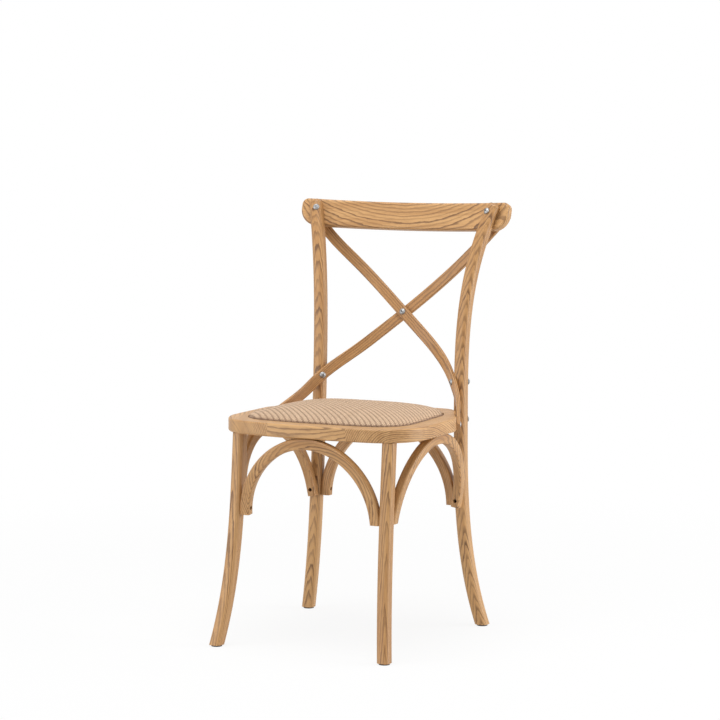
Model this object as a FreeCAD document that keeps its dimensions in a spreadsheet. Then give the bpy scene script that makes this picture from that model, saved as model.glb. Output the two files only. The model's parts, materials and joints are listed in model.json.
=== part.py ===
import FreeCAD, Part
import math
import os
import Sketcher
from FreeCAD import Placement, Rotation, Vector

document = FreeCAD.newDocument("CrossBackChair")
sheet = document.addObject("Spreadsheet::Sheet", "Dimensions")

# Every driving dimension of the chair, in millimetres or degrees.
dimensions = (
    ("origin_setback", 34.04, "origin behind the middle of the four feet"),
    ("seat_top", 453.5, "top of the seat frame above the floor"),
    ("rail_height", 27.5, "height of the seat frame"),
    ("ledge_width", 20, "width of the ledge under the pad"),
    ("rail_easing", 4, "rounding of the outer edges of the seat frame"),
    ("seat_half_width", 218, "half of the widest part of the seat frame"),
    ("seat_front", 187, "front of the seat frame ahead of the middle"),
    ("seat_back", 196.3, "back of the seat frame behind the middle"),
    ("front_bow", 1020, "radius of the front edge of the seat frame"),
    ("side_bow", 2500, "radius of the side edges of the seat frame"),
    ("knuckle", 60, "radius of the seat frame where its side turns inward"),
    ("knuckle_behind", 37.7, "turn of the side behind the middle"),
    ("flank_bow", 3000, "radius of the nearly straight edges ahead of the posts"),
    ("back_bow", 2500, "radius of the back edge of the seat frame"),
    ("front_corner", 95, "radius of the front corners of the seat frame"),
    ("back_corner", 45, "radius of the back corners of the seat frame"),
    ("back_corner_out", 121.5, "side distance of the back corner centres"),
    ("front_joint", 87, "side distance of the joints beside the front rail"),
    ("back_joint", 75, "side distance of the joints beside the back rail"),
    ("dowel_near", 12, "inset of the outer dowels from the edge"),
    ("dowel_far", 38, "inset of the inner dowels from the edge"),
    ("dowel_width", 8, "diameter of the dowels in the seat frame"),
    ("dowel_length", 36, "length of the dowels in the seat frame"),
    ("pad_half_width", 181.5, "half of the widest part of the pad"),
    ("pad_front", 154, "front of the pad ahead of the middle"),
    ("pad_back", 152, "back of the pad behind the middle"),
    ("pad_front_corner", 75, "radius of the front corners of the pad"),
    ("pad_back_corner", 85, "radius of the back corners of the pad"),
    ("pad_corner_out", 90, "side distance of the back corner centres of the pad"),
    ("rebate_depth", 12, "depth of the rebate that holds the pad"),
    ("pad_rise", 25, "height of the crown above the seat frame"),
    ("crown_fullness", 3.2, "how full the crown is near its edge"),
    ("cover_thickness", 2.6, "thickness of the woven cover"),
    ("pad_clearance", 0.8, "gap between the cover and the seat frame"),
    ("soft_clearance", 0.3, "gap between the layers of the pad"),
    ("board_thickness", 10, "thickness of the board below the pad"),
    ("leg_width", 26.5, "width of the legs across their flats"),
    ("leg_corner", 9.5, "rounding of the long edges of the legs"),
    ("front_foot_out", 188.3, "side distance of the front feet"),
    ("front_foot_ahead", 214.6, "front feet ahead of the middle"),
    ("front_top_out", 167.3, "side distance of the front legs at the seat"),
    ("front_top_ahead", 150.2, "front legs ahead of the middle at the seat"),
    ("front_bend_turn", 127.1, "direction in which the front legs bend"),
    ("front_bend_low", 25.7, "pull of the lower bend of the front legs"),
    ("front_bend_high", 11.5, "pull of the upper bend of the front legs"),
    ("tenon_width", 18, "diameter of the tenons of the front legs"),
    ("tenon_length", 17, "length of the tenons of the front legs"),
    ("back_foot_out", 205.5, "side distance of the back feet"),
    ("back_foot_behind", 212.4, "back feet behind the middle"),
    ("post_top_out", 209.7, "side distance of the post tops"),
    ("post_top_behind", 256.8, "post tops behind the middle"),
    ("post_top", 875, "height of the post tops"),
    ("back_bend_turn", -131.7, "direction in which the back legs bend"),
    ("back_bend_low", 56, "pull of the bend near the floor"),
    ("back_bend_middle", 63.1, "pull of the bend at the seat"),
    ("back_bend_high", 72.7, "pull of the bend below the crest rail"),
    ("post_rounding", 8, "rounding of the post tops"),
    ("crest_half_length", 241.5, "half of the length of the crest rail"),
    ("crest_height", 58, "height of the crest rail"),
    ("crest_thickness", 21, "thickness of the crest rail"),
    ("crest_housing", 7, "depth of the crest rail in the posts"),
    ("crest_bow", 1353, "radius of the bend of the crest rail"),
    ("crest_tilt", 17, "backward tilt of the crest rail"),
    ("crest_centre", 853, "middle height of the crest rail at the posts"),
    ("crest_bolt_height", 856, "height of the crest bolts on the middle of the posts"),
    ("crest_bolt_turn", 63, "direction of the crest bolts through the posts"),
    ("crest_low_corner", 35, "radius of the lower corners of the crest rail"),
    ("crest_high_corner", 14, "radius of the upper corners of the crest rail"),
    ("crest_easing", 5, "rounding of the long edges of the crest rail"),
    ("housing_depth", 1.2, "depth of the shallow housings in the legs"),
    ("slat_width", 23, "width of the crossed slats"),
    ("slat_thickness", 8, "thickness of the crossed slats"),
    ("slat_corner", 2.2, "rounding of the edges of the crossed slats"),
    ("slat_seat_behind", 80, "slat bolts at the seat behind the middle"),
    ("slat_seat_height", 437.5, "height of the slat bolts at the seat"),
    ("slat_end_reach", 15.4, "slat ends beyond the bolts along the flank"),
    ("slat_end_drop", 7.5, "slat ends below the bolts"),
    ("slat_rise_along", 42, "slat length along the flank where it leaves the frame"),
    ("slat_rise", 22.5, "rise of the slats where they leave the frame"),
    ("slat_knee_along", 73.4, "distance along the flank to the knee of the slats"),
    ("slat_knee_rise", 42.5, "rise of the slats at the knee"),
    ("slat_knee_in", 2, "slats inward of the flank at the knee"),
    ("slat_post_turn", 48, "direction of the slat bolts through the posts"),
    ("slat_bolt_height", 511, "height of the slat bolts through the posts"),
    ("slat_post_reach", 18.2, "slat middle to post middle at the bolt"),
    ("slat_lower_out", 113.5, "side distance of the lower slat sweep"),
    ("slat_lower_behind", 214.5, "lower slat sweep behind the middle"),
    ("slat_lower_height", 548, "height of the lower slat sweep"),
    ("crossing_height", 643, "height at which the slats cross"),
    ("crossing_behind", 257.5, "slat crossing behind the middle"),
    ("slat_upper_out", 104, "side distance of the upper slat sweep"),
    ("slat_upper_behind", 275.8, "upper slat sweep behind the middle"),
    ("slat_upper_height", 731, "height of the upper slat sweep"),
    ("slat_fixing_gap", 24, "slat fixings outward of where the slats meet the crest rail"),
    ("slat_fixing_out", 220, "side distance of the slat fixings on the crest"),
    ("arch_thickness", 21.5, "thickness of the arches in their own plane"),
    ("arch_depth", 18, "depth of the arches across their plane"),
    ("arch_corner", 4, "rounding of the edges of the arches"),
    ("arch_toe", 3.4, "outward lean of the ends of the arches, in degrees"),
    ("arch_fullness", 0.924, "top radius of the arches as a share of an ellipse's"),
    ("front_arch_foot", 264, "height of the ends of the front arch"),
    ("front_arch_spring", 272, "height where the front arch starts to curve"),
    ("back_arch_foot", 254, "height of the ends of the back arch"),
    ("back_arch_spring", 262, "height where the back arch starts to curve"),
    ("side_arch_front_foot", 266, "height of the front ends of the side arches"),
    ("side_arch_back_foot", 254, "height of the back ends of the side arches"),
    ("side_arch_spring", 274, "height where the side arches start to curve"),
    ("arch_screw_lift", 13.5, "screws above the ends of the arches"),
    ("arch_seating", 1, "flat depth where each arch meets the seat frame"),
    ("front_arch_lean", 0.108, "forward lean of the front arch"),
    ("back_arch_lean", 0.005, "backward lean of the back arch"),
    ("side_arch_lean", 0.172, "outward lean of the side arches"),
    ("side_arch_in", 2.5, "side arches inward of the middle of the legs"),
    ("screw_bite", 9.5, "depth of the arch screws in the legs"),
    ("counterbore_width", 8, "diameter of the counterbores in the arches"),
    ("counterbore_depth", 9, "depth of the counterbores in the arches"),
    ("bolt_head", 13, "diameter of the domed bolt heads"),
    ("bolt_dome", 4.2, "height of the domed bolt heads"),
    ("bolt_shank", 6, "diameter of the bolts"),
    ("bolt_socket", 4, "hexagon socket across its flats"),
    ("screw_head", 7.2, "diameter of the screw heads"),
    ("screw_dome", 3, "height of the screw heads"),
    ("screw_shank", 4.5, "diameter of the screws"),
    ("screw_socket", 3, "hexagon socket of the screws across its flats"),
    ("bore_clearance", 0.1, "gap between a shank and its bore"),
    ("glide_width", 22, "diameter of the glides"),
    ("glide_thickness", 3, "thickness of the glides"),
    ("glide_pin", 4, "diameter of the pins of the glides"),
    ("glide_pin_length", 14, "length of the pins of the glides"),
)
for row, (alias, value, meaning) in enumerate(dimensions, start=1):
    sheet.set("A%d" % row, meaning)
    sheet.set("B%d" % row, str(value))
    sheet.setAlias("B%d" % row, alias)
document.recompute()


def size(alias):
    return float(sheet.get(alias))


def at(out, behind, height):
    return Vector(out, behind - size("origin_setback"), height)


def turned(angle):
    return Vector(math.cos(math.radians(angle)), math.sin(math.radians(angle)), 0)


def plane_of(body, role):
    for feature in body.Origin.OriginFeatures:
        if feature.Role == role:
            return feature
    raise ValueError(role)


def new_body(name, placement=None):
    body = document.addObject("PartDesign::Body", name)
    if placement is not None:
        body.Placement = placement
    return body


def new_sketch(body, name, role, offset=None):
    sketch = body.newObject("Sketcher::SketchObject", name)
    sketch.AttachmentSupport = (plane_of(body, role), [""])
    sketch.MapMode = "FlatFace"
    if offset is not None:
        sketch.AttachmentOffset = offset
    return sketch


def bind(sketch, constraint, expression):
    index = sketch.addConstraint(constraint)
    sketch.setExpression("Constraints[%d]" % index, expression)


def rounded_rectangle(sketch, width, depth, corner):
    across = size(width) / 2
    deep = size(depth) / 2
    radius = size(corner)
    corners = ((1, -1), (1, 1), (-1, 1), (-1, -1))
    starts = (
        ((radius - across, -deep), (across - radius, -deep)),
        ((across, radius - deep), (across, deep - radius)),
        ((across - radius, deep), (radius - across, deep)),
        ((-across, deep - radius), (-across, radius - deep)),
    )
    for number, (start, end) in enumerate(starts):
        sketch.addGeometry(Part.LineSegment(Vector(*start, 0), Vector(*end, 0)))
        side, level = corners[number]
        centre = Vector(side * (across - radius), level * (deep - radius), 0)
        circle = Part.Circle(centre, Vector(0, 0, 1), radius)
        first = (number - 1) * math.pi / 2
        sketch.addGeometry(Part.ArcOfCircle(circle, first, first + math.pi / 2))
    for number in range(4):
        line = 2 * number
        sketch.addConstraint(Sketcher.Constraint("Tangent", line, 2, line + 1, 1))
        sketch.addConstraint(Sketcher.Constraint("Tangent", line + 1, 2, (line + 2) % 8, 1))
        direction = "Horizontal" if number % 2 == 0 else "Vertical"
        sketch.addConstraint(Sketcher.Constraint(direction, line))
    for arc in (3, 5, 7):
        sketch.addConstraint(Sketcher.Constraint("Equal", 1, arc))
    sketch.addConstraint(Sketcher.Constraint("Symmetric", 0, 1, 4, 1, -1, 1))
    bind(sketch, Sketcher.Constraint("Radius", 1, radius), "Dimensions." + corner)
    bind(sketch, Sketcher.Constraint("DistanceX", 6, 1, 2, 1, 2 * across), "Dimensions." + width)
    bind(sketch, Sketcher.Constraint("DistanceY", 0, 1, 4, 1, 2 * deep), "Dimensions." + depth)


def sweep(body, name, profile, spine, edge_count, binormal):
    pipe = body.newObject("PartDesign::AdditivePipe", name)
    pipe.Profile = (profile, [""])
    pipe.Spine = (spine, ["Edge%d" % number for number in range(1, edge_count + 1)])
    pipe.Mode = "Binormal"
    pipe.Binormal = binormal
    return pipe


def box(name, low, high):
    block = document.addObject("Part::Box", name)
    block.Length = high.x - low.x
    block.Width = high.y - low.y
    block.Height = high.z - low.z
    block.Placement = Placement(low, Rotation())
    return block


def cylinder(name, start, direction, radius, length):
    rod = document.addObject("Part::Cylinder", name)
    rod.setExpression("Radius", radius)
    rod.Height = length
    rod.Placement = Placement(start, Rotation(Vector(0, 0, 1), direction))
    return rod


def joined(name, parts):
    if len(parts) == 1:
        return parts[0]
    fusion = document.addObject("Part::MultiFuse", name)
    fusion.Shapes = parts
    return fusion


def cut(name, base, tools):
    result = document.addObject("Part::Cut", name)
    result.Base = base
    result.Tool = joined(name + "_tools", tools)
    return result


def common(name, base, tool):
    result = document.addObject("Part::Common", name)
    result.Base = base
    result.Tool = tool
    return result


def mirrored(name, source):
    result = document.addObject("Part::Mirroring", name)
    result.Source = source
    result.Normal = Vector(1, 0, 0)
    return result


def group(name, parts):
    result = document.addObject("Part::Compound", name)
    result.Links = parts
    return result


nodes = {}


def keep(label, feature):
    feature.Label = label
    nodes[label] = feature
    return feature


# Curved outlines made of tangent arcs
def tangent_centre(first, first_radius, second, second_radius, radius):
    near = radius - first_radius
    far = radius - second_radius
    gap = second - first
    span = gap.Length
    along = (near * near - far * far + span * span) / (2 * span)
    aside = math.sqrt(near * near - along * along)
    direction = gap / span
    normal = Vector(-direction.y, direction.x, 0)
    return first + direction * along + normal * aside


def front_arcs(half_width, front, corner):
    bow = size("front_bow")
    bow_centre = Vector(0, bow - front, 0)
    out = half_width - corner
    drop = math.sqrt((bow - corner) ** 2 - out ** 2)
    return (bow_centre, bow), (Vector(out, bow_centre.y - drop, 0), corner)


def back_arcs(out, back, corner):
    bow = size("back_bow")
    bow_centre = Vector(0, back - bow, 0)
    rise = math.sqrt((bow - corner) ** 2 - out ** 2)
    return (Vector(out, bow_centre.y + rise, 0), corner), (bow_centre, bow)


def between(first, second, radius):
    return tangent_centre(*first, *second, radius), radius


def chain_arcs(chain, inset):
    touches = []
    for (centre, radius), (other, other_radius) in zip(chain, chain[1:]):
        if radius > other_radius:
            direction = (other - centre).normalize()
            touches.append(other + direction * (other_radius - inset))
        else:
            direction = (centre - other).normalize()
            touches.append(centre + direction * (radius - inset))
    arcs = []
    front = Vector(0, chain[0][0].y - chain[0][1] + inset, 0)
    arcs.append((Vector(-touches[0].x, touches[0].y, 0), front, touches[0]))
    for number in range(1, len(chain) - 1):
        centre, radius = chain[number]
        middle = (touches[number - 1] + touches[number]) / 2 - centre
        middle = centre + middle.normalize() * (radius - inset)
        arcs.append((touches[number - 1], middle, touches[number]))
    back = Vector(0, chain[-1][0].y + chain[-1][1] - inset, 0)
    arcs.append((touches[-1], back, Vector(-touches[-1].x, touches[-1].y, 0)))
    for start, middle, end in reversed(arcs[1:-1]):
        flipped = [Vector(-point.x, point.y, 0) for point in (end, middle, start)]
        arcs.append(tuple(flipped))
    return arcs


def scaled(arcs, factor, height):
    return [[Vector(p.x * factor, p.y * factor, height) for p in arc] for arc in arcs]


def arc_wire(arcs):
    return Part.Wire([Part.Arc(*arc).toShape() for arc in arcs])


def outline_sketch(body, name, arcs, height):
    sketch = new_sketch(body, name, "XY_Plane", Placement(Vector(0, 0, height), Rotation()))
    for start, middle, end in arcs:
        sketch.addGeometry(Part.Arc(start, middle, end))
    count = len(arcs)
    for number in range(count):
        following = (number + 1) % count
        sketch.addConstraint(Sketcher.Constraint("Coincident", number, 2, following, 1))
    return sketch


# Legs
def leg_frame(foot, top, turn):
    along = (top - foot).normalize()
    bend = turned(turn)
    bend = (bend - along * bend.dot(along)).normalize()
    across = along.cross(bend)
    return Placement(foot, Rotation(bend, across, along, "ZXY"))


def leg_spine(length, pulls, below, above):
    count = len(pulls) + 2
    knot_count = count - 2
    knots = [number / (knot_count - 1) for number in range(knot_count)]
    mults = [4] + [1] * (knot_count - 2) + [4]
    full = [0.0] * 3 + knots + [1.0] * 3
    reach = [sum(full[number + 1:number + 4]) / 3 * length for number in range(count)]
    poles = [Vector(pull, 0, along) for pull, along in zip([0] + list(pulls) + [0], reach)]
    first = (poles[0] - poles[1]).normalize()
    last = (poles[-1] - poles[-2]).normalize()
    poles[0] = poles[0] + first * below
    poles[-1] = poles[-1] + last * above
    curve = Part.BSplineCurve()
    curve.buildFromPolesMultsKnots(poles, mults, knots, False, 3)
    return curve


def flat_curve(curve):
    flat = Part.BSplineCurve()
    poles = [Vector(pole.x, pole.z, 0) for pole in curve.getPoles()]
    flat.buildFromPolesMultsKnots(poles, curve.getMultiplicities(), curve.getKnots(), False, 3)
    return flat


def curve_at_height(curve, placement, height):
    low = 0.0
    high = 1.0
    for _ in range(60):
        middle = (low + high) / 2
        if placement.multVec(curve.value(middle)).z < height:
            low = middle
        else:
            high = middle
    return placement.multVec(curve.value(low))


def leg_body(name, curve, placement):
    body = new_body(name, placement)
    spine = new_sketch(body, name + "_spine", "XZ_Plane")
    spine.addGeometry(flat_curve(curve))
    start = curve.value(0)
    tangent = curve.tangent(0)[0]
    square = placement.Rotation.inverted().multVec(Vector(1, 0, 0))
    square = (square - tangent * square.dot(tangent)).normalize()
    facing = Rotation(square, tangent.cross(square), tangent, "ZXY")
    profile = new_sketch(body, name + "_section", "XY_Plane", Placement(start, facing))
    rounded_rectangle(profile, "leg_width", "leg_width", "leg_corner")
    return body, sweep(body, name + "_sweep", profile, spine, 1, Vector(0, 1, 0))


front_foot = at(size("front_foot_out"), -size("front_foot_ahead"), 0)
rail_base = size("seat_top") - size("rail_height")
front_top = at(size("front_top_out"), -size("front_top_ahead"), rail_base)
front_frame = leg_frame(front_foot, front_top, size("front_bend_turn"))
front_pulls = (size("front_bend_low"), size("front_bend_high"))
front_curve = leg_spine((front_top - front_foot).Length, front_pulls, 8, 6)
back_foot = at(size("back_foot_out"), size("back_foot_behind"), 0)
back_top = at(size("post_top_out"), size("post_top_behind"), size("post_top"))
back_frame = leg_frame(back_foot, back_top, size("back_bend_turn"))
back_pulls = (size("back_bend_low"), size("back_bend_middle"), size("back_bend_high"))
back_curve = leg_spine((back_top - back_foot).Length, back_pulls, 8, 0)


def front_leg_at(height):
    return curve_at_height(front_curve, front_frame, height)


def back_leg_at(height):
    return curve_at_height(back_curve, back_frame, height)


def front_leg_blank():
    body = leg_body("front_leg_blank", front_curve, front_frame)[0]
    low = at(0, -400, size("glide_thickness"))
    trimmed = common("front_leg_trimmed", body, box("front_leg_trim", low, at(400, 0, rail_base)))
    start = front_leg_at(rail_base) - Vector(0, 0, 5)
    tenon = cylinder("front_tenon", start, Vector(0, 0, 1), "Dimensions.tenon_width / 2", 5)
    tenon.setExpression("Height", "Dimensions.tenon_length + 5")
    return joined("front_leg_tenoned", [trimmed, tenon])


def end_edges(shape, direction):
    end = max(shape.Faces, key=lambda face: face.CenterOfMass.dot(direction))
    names = []
    for number, edge in enumerate(shape.Edges, start=1):
        if any(edge.isSame(other) for other in end.Edges):
            names.append("Edge%d" % number)
    return names


def round_over(body, name, base, edges, radius):
    fillet = body.newObject("PartDesign::Fillet", name)
    fillet.Base = (base, edges)
    fillet.setExpression("Radius", "Dimensions." + radius)
    return fillet


def back_leg_blank():
    body, pipe = leg_body("back_leg_blank", back_curve, back_frame)
    document.recompute()
    edges = end_edges(pipe.Shape, Vector(0, 0, 1))
    round_over(body, "post_top_rounding", pipe, edges, "post_rounding")
    low = at(0, -400, size("glide_thickness"))
    return common("back_leg_trimmed", body, box("back_leg_trim", low, at(400, 600, 1000)))


# Seat frame
def seat_outline_chain():
    front, front_corner = front_arcs(size("seat_half_width"), size("seat_front"), size("front_corner"))
    knuckle = (
        Vector(size("seat_half_width") - size("knuckle"), size("knuckle_behind"), 0),
        size("knuckle"),
    )
    back_corner, back = back_arcs(size("back_corner_out"), size("seat_back"), size("back_corner"))
    side = between(front_corner, knuckle, size("side_bow"))
    flank = between(knuckle, back_corner, size("flank_bow"))
    return front, front_corner, side, knuckle, flank, back_corner, back


def pad_outline_chain():
    front, front_corner = front_arcs(size("pad_half_width"), size("pad_front"), size("pad_front_corner"))
    back_corner, back = back_arcs(size("pad_corner_out"), size("pad_back"), size("pad_back_corner"))
    side = between(front_corner, back_corner, size("side_bow"))
    return front, front_corner, side, back_corner, back


seat_chain = seat_outline_chain()
pad_chain = pad_outline_chain()


def seat_ring():
    body = new_body("seat_ring", Placement(at(0, 0, rail_base), Rotation()))
    outline = outline_sketch(body, "seat_outline", chain_arcs(seat_chain, 0), 0)
    board = body.newObject("PartDesign::Pad", "seat_pad")
    board.Profile = outline
    board.setExpression("Length", "Dimensions.rail_height")
    document.recompute()
    edges = []
    for number, edge in enumerate(board.Shape.Edges, start=1):
        if abs(edge.BoundBox.ZLength) < 0.01:
            edges.append("Edge%d" % number)
    round_over(body, "seat_easing", board, edges, "rail_easing")
    opening = outline_sketch(body, "seat_opening", chain_arcs(pad_chain, size("ledge_width")), 0)
    hole = body.newObject("PartDesign::Pocket", "seat_hole")
    hole.Profile = opening
    hole.Type = "ThroughAll"
    hole.Midplane = True
    height = size("rail_height")
    recess = outline_sketch(body, "pad_recess", chain_arcs(pad_chain, 0), height)
    rebate = body.newObject("PartDesign::Pocket", "pad_rebate")
    rebate.Profile = recess
    rebate.setExpression("Length", "Dimensions.rebate_depth")
    return body


def joint_dowels():
    dowels = []
    height = rail_base + (size("rail_height") - size("rebate_depth")) / 2
    half = size("dowel_length") / 2
    for joint, sign in (("front", -1), ("back", 1)):
        out = size(joint + "_joint")
        bow = seat_chain[0] if sign < 0 else seat_chain[-1]
        edge = bow[0].y + sign * math.sqrt(bow[1] ** 2 - out ** 2)
        for place in ("near", "far"):
            behind = edge - sign * size("dowel_" + place)
            name = "%s_dowel_%s" % (joint, place)
            start = at(out - half, behind, height)
            rod = cylinder(name, start, Vector(1, 0, 0), "Dimensions.dowel_width / 2", 2 * half)
            rod.setExpression("Height", "Dimensions.dowel_length")
            dowels.append(rod)
    return dowels


# Pad
def crown_share(factor):
    return 1 - factor ** size("crown_fullness")


def crowned_solid(name, inset, rise_cut, base):
    arcs = chain_arcs(pad_chain, inset)
    rise = size("pad_rise") - rise_cut
    top = size("seat_top")
    levels = [(1.0, base), (1.0, top)]
    for factor in (0.95, 0.8, 0.55, 0.2):
        levels.append((factor, top + rise * crown_share(factor)))
    wires = []
    for number, (factor, height) in enumerate(levels):
        wire = document.addObject("Part::Feature", "%s_level_%d" % (name, number))
        wire.Shape = arc_wire(scaled(arcs, factor, height))
        wire.Placement = Placement(at(0, 0, 0), Rotation())
        wires.append(wire)
    skirt = document.addObject("Part::Loft", name + "_skirt")
    skirt.Sections = wires[:2]
    skirt.Solid = True
    skirt.Ruled = True
    crown = document.addObject("Part::Loft", name + "_crown")
    crown.Sections = wires[1:]
    crown.Solid = True
    crown.Ruled = False
    return joined(name, [skirt, crown])


def board_screw_places():
    inset = size("ledge_width") / 2
    side_centre, side_radius = pad_chain[2]
    places = []
    for behind in (-60, 50):
        reach = math.sqrt((side_radius - inset) ** 2 - (behind - side_centre.y) ** 2)
        places.append(at(side_centre.x + reach, behind, rail_base))
    front_centre, front_radius = pad_chain[0]
    out = size("front_joint") + 27
    reach = math.sqrt((front_radius - inset) ** 2 - out ** 2)
    places.append(at(out, front_centre.y - reach, rail_base))
    return places


# Crest rail
def crest_frame():
    tilt = size("crest_tilt")
    post = back_leg_at(size("crest_centre"))
    rotation = Rotation(Vector(1, 0, 0), -tilt)
    backward = rotation.multVec(Vector(0, 1, 0))
    offset = size("leg_width") / 2 + size("crest_thickness") / 2 - size("crest_housing")
    anchor = post + backward * offset
    sag = size("crest_bow") - math.sqrt(size("crest_bow") ** 2 - anchor.x ** 2)
    origin = Vector(0, anchor.y, anchor.z) + backward * sag
    return Placement(origin, rotation)


def crest_rail():
    body = new_body("crest_rail_body", crest_frame())
    plan = new_sketch(body, "crest_plan", "XY_Plane")
    half = size("crest_half_length") + 12
    thick = size("crest_thickness") / 2
    bow = size("crest_bow")
    centre = Vector(0, -bow, 0)
    ends = []
    for radius in (bow + thick, bow - thick):
        angle = math.asin(half / radius)
        circle = Part.Circle(centre, Vector(0, 0, 1), radius)
        sweep_arc = Part.ArcOfCircle(circle, math.pi / 2 - angle, math.pi / 2 + angle)
        plan.addGeometry(sweep_arc)
        ends.append((sweep_arc.StartPoint, sweep_arc.EndPoint))
    plan.addGeometry(Part.LineSegment(ends[0][0], ends[1][0]))
    plan.addGeometry(Part.LineSegment(ends[0][1], ends[1][1]))
    plan.addConstraint(Sketcher.Constraint("Coincident", 0, 1, 2, 1))
    plan.addConstraint(Sketcher.Constraint("Coincident", 1, 1, 2, 2))
    plan.addConstraint(Sketcher.Constraint("Coincident", 0, 2, 3, 1))
    plan.addConstraint(Sketcher.Constraint("Coincident", 1, 2, 3, 2))
    band = body.newObject("PartDesign::Pad", "crest_band")
    band.Profile = plan
    band.Midplane = True
    band.setExpression("Length", "Dimensions.crest_height")
    shape = new_sketch(body, "crest_outline", "XZ_Plane")
    rim = half + 20
    reach = size("crest_half_length")
    tall = size("crest_height") / 2
    frame = ((-rim, -60), (rim, -60), (rim, 60), (-rim, 60))
    for start, end in zip(frame, frame[1:] + frame[:1]):
        shape.addGeometry(Part.LineSegment(Vector(*start, 0), Vector(*end, 0)))
    low = size("crest_low_corner")
    high = size("crest_high_corner")
    over = tall + 8
    slope = math.sqrt(0.5)
    points = (
        (-reach, low - tall),
        (-reach + low * (1 - slope), low * (1 - slope) - tall),
        (-reach + low, -tall),
    )
    outline = [
        Part.Arc(*[Vector(x, z, 0) for x, z in points]),
        Part.LineSegment(Vector(-reach + low, -tall, 0), Vector(-reach + low, -over, 0)),
        Part.LineSegment(Vector(-reach + low, -over, 0), Vector(reach - low, -over, 0)),
        Part.LineSegment(Vector(reach - low, -over, 0), Vector(reach - low, -tall, 0)),
        Part.Arc(*[Vector(-x, z, 0) for x, z in reversed(points)]),
        Part.LineSegment(Vector(reach, low - tall, 0), Vector(reach, tall - high, 0)),
        Part.Arc(
            Vector(reach, tall - high, 0),
            Vector(reach - high * (1 - slope), tall - high * (1 - slope), 0),
            Vector(reach - high, tall, 0),
        ),
        Part.LineSegment(Vector(reach - high, tall, 0), Vector(reach - high, over, 0)),
        Part.LineSegment(Vector(reach - high, over, 0), Vector(high - reach, over, 0)),
        Part.LineSegment(Vector(high - reach, over, 0), Vector(high - reach, tall, 0)),
        Part.Arc(
            Vector(high - reach, tall, 0),
            Vector(high * (1 - slope) - reach, tall - high * (1 - slope), 0),
            Vector(-reach, tall - high, 0),
        ),
        Part.LineSegment(Vector(-reach, tall - high, 0), Vector(-reach, low - tall, 0)),
    ]
    for piece in outline:
        shape.addGeometry(piece)
    trim = body.newObject("PartDesign::Pocket", "crest_trim")
    trim.Profile = shape
    trim.Type = "ThroughAll"
    trim.Midplane = True
    document.recompute()
    faces = sorted(trim.Shape.Faces, key=lambda face: face.Area, reverse=True)[:2]
    edges = []
    for number, edge in enumerate(trim.Shape.Edges, start=1):
        if any(edge.isSame(other) for face in faces for other in face.Edges):
            edges.append("Edge%d" % number)
    round_over(body, "crest_easing_fillet", trim, edges, "crest_easing")
    return body


# Crossed slats
post_station = 4
crossing_station = 6


def flank_point(behind):
    centre, radius = seat_chain[4]
    out = centre.x + math.sqrt(radius ** 2 - (behind - centre.y) ** 2)
    point = Vector(out, behind, 0)
    return at(out, behind, 0), (point - centre).normalize()


def slat_path():
    edge, facing = flank_point(size("slat_seat_behind"))
    seat = edge + facing * (size("slat_thickness") / 2) + Vector(0, 0, size("slat_seat_height"))
    along = Vector(-facing.y, facing.x, 0)
    diagonal = turned(size("slat_post_turn"))
    post = back_leg_at(size("slat_bolt_height")) - diagonal * size("slat_post_reach")
    crest = crest_frame()
    crest_back = size("crest_thickness") / 2 + size("slat_thickness") / 2
    points = [
        seat - along * size("slat_end_reach") - Vector(0, 0, size("slat_end_drop")),
        seat,
        seat + along * size("slat_rise_along") + Vector(0, 0, size("slat_rise")),
        seat + along * size("slat_knee_along") + Vector(0, 0, size("slat_knee_rise")),
        post,
        at(size("slat_lower_out"), size("slat_lower_behind"), size("slat_lower_height")),
        at(0, size("crossing_behind"), size("crossing_height")),
        at(-size("slat_upper_out"), size("slat_upper_behind"), size("slat_upper_height")),
    ]
    points[3] = points[3] - facing * size("slat_knee_in")
    normals = [
        facing,
        facing,
        facing,
        facing * 0.7 + diagonal * 0.3,
        diagonal,
        turned(62) + Vector(0, 0, -0.1),
        crest.Rotation.multVec(Vector(0, 1, 0)),
        Vector(-0.06, 0.96, -0.24),
    ]
    fixing = size("slat_fixing_out")
    for out, lift in ((fixing - size("slat_fixing_gap"), -26), (fixing, 0), (fixing + 9, 9)):
        lean = Vector(-out, size("crest_bow"), 0).normalize()
        local = Vector(0, -size("crest_bow"), lift) + lean * (size("crest_bow") + crest_back)
        points.append(crest.multVec(local))
        normals.append(crest.Rotation.multVec(lean))
    return points, normals


def slat_stations(layer):
    points, normals = slat_path()
    step = normals[crossing_station].normalize() * (layer * (size("slat_thickness") - 0.3) / 2)
    points[crossing_station] = points[crossing_station] + step
    path = Part.BSplineCurve()
    path.interpolate(points)
    marks = [path.parameter(point) for point in points]
    stations = []
    for number in range(len(marks) - 1):
        parts = 2 if number in (4, 5, 6, 7) else 1
        for part in range(parts):
            share = part / parts
            mark = marks[number] * (1 - share) + marks[number + 1] * share
            normal = normals[number] * (1 - share) + normals[number + 1] * share
            stations.append((mark, normal))
    stations.append((marks[-1], normals[-1]))
    placed = []
    for mark, normal in stations:
        tangent = path.tangent(mark)[0]
        normal = (normal - tangent * normal.dot(tangent)).normalize()
        across = normal.cross(tangent)
        rotation = Rotation(across, normal, tangent, "ZYX")
        placed.append(Placement(path.value(mark), rotation))
    return placed


def slat(name, layer, side):
    body = new_body(name)
    sketches = []
    for number, placement in enumerate(slat_stations(layer)):
        sketch = new_sketch(body, "%s_section_%d" % (name, number), "XY_Plane", placement)
        rounded_rectangle(sketch, "slat_width", "slat_thickness", "slat_corner")
        sketches.append(sketch)
    loft = body.newObject("PartDesign::AdditiveLoft", name + "_loft")
    loft.Profile = (sketches[0], [""])
    loft.Sections = [(sketch, [""]) for sketch in sketches[1:]]
    if side < 0:
        return mirrored(name + "_turned", body)
    return body


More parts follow.
